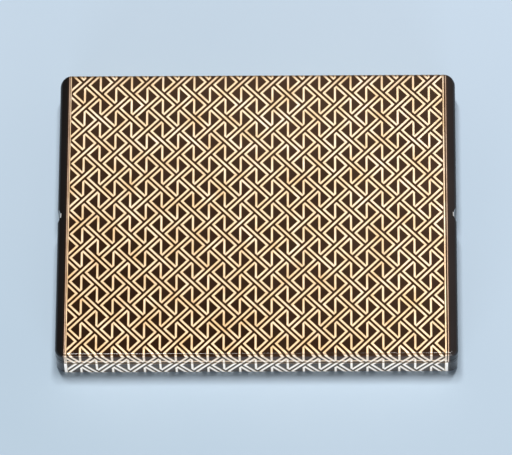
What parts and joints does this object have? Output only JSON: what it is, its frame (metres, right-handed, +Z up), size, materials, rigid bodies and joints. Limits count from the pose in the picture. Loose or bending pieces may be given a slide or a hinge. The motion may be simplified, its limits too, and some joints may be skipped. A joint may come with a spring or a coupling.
{
  "type": "cigarette case",
  "caption": "Flat hinged pocket case in black lacquer with a gold trellis, gilt inside, opened by pinching push-pieces in the short ends.",
  "frame": {"origin": "middle of the closed case's underside, on the surface it lies on", "axes": "+X along the hinge, -Y towards the front edge, +Y towards the hinge, +Z up through the lid"},
  "size_m": [0.1122, 0.089, 0.012],
  "materials": {
    "lacquer": "polished black lacquer with gold trellis lines",
    "gilt_brass": "satin gilt",
    "spring_steel": "brushed",
    "polished_steel": "polished",
    "elastic_tape": "woven"
  },
  "bodies": {
    "base": {"base_shell": "gilt_brass", "base_coat": "lacquer", "base_bezel": "gilt_brass", "base_lip": "gilt_brass", "base_hinge_strip": "gilt_brass", "hinge_pin": "spring_steel", "left_latch_spring": "spring_steel", "right_latch_spring": "spring_steel", "latch_spring_blocks": "gilt_brass", "latch_rivets": "gilt_brass", "push_bushes": "polished_steel", "front_elastic_band": "elastic_tape", "rear_elastic_band": "elastic_tape", "band_clamps": "gilt_brass", "band_rivets": "gilt_brass"},
    "lid": {"lid_shell": "gilt_brass", "lid_coat": "lacquer", "lid_bezel": "gilt_brass", "lid_hinge_strip": "gilt_brass", "left_catch_plate": "spring_steel", "right_catch_plate": "spring_steel", "catch_rivets": "gilt_brass"},
    "left_push": {"left_push_piece": "polished_steel"},
    "right_push": {"right_push_piece": "polished_steel"}
  },
  "joints": [
    {"name": "lid_hinge", "type": "hinge", "parent": "base", "child": "lid", "pos_m": [0, 0.04316, 0.0072], "axis": [-1, 0, 0], "range_deg": [0, 175], "deforming": ["left_latch_spring", "right_latch_spring"]},
    {"name": "left_push", "type": "slide", "parent": "base", "child": "left_push", "axis": [1, 0, 0], "range_m": [0, 0.0006], "stiffness_N_per_m": 3000, "deforming": ["left_latch_spring"]},
    {"name": "right_push", "type": "slide", "parent": "base", "child": "right_push", "axis": [-1, 0, 0], "range_m": [0, 0.0006], "stiffness_N_per_m": 3000, "deforming": ["right_latch_spring"]}
  ]
}
